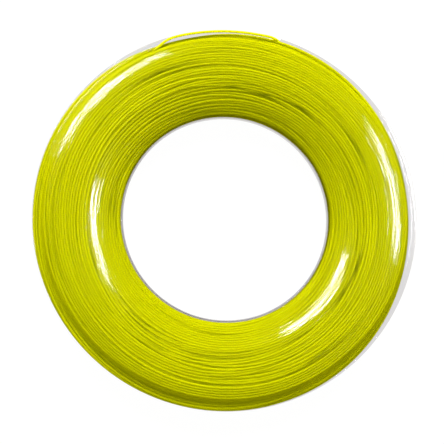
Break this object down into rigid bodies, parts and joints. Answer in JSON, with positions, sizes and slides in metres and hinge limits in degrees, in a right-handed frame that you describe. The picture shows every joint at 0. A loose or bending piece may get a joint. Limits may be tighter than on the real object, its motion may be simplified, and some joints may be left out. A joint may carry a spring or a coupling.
{
  "type": "string reel",
  "caption": "Clear two-part spool with an open bore, full of thin round string, whose outer end is locked through the rim.",
  "frame": {"origin": "on the reel's axis, at the rear shell's flat land that the reel lies on", "axes": "+Z along the reel's axis, from the rear shell to the front shell; +X points from the axis towards the side of the rim a quarter turn clockwise from where the string's end lies"},
  "size_m": [0.19, 0.19, 0.028],
  "materials": {
    "shell": "clear polished moulding",
    "string": "smooth extruded monofilament, slightly translucent"
  },
  "bodies": {
    "root": {"front_shell": "shell", "rear_shell": "shell", "string_winding": "string", "string_end": "string"}
  },
  "joints": []
}
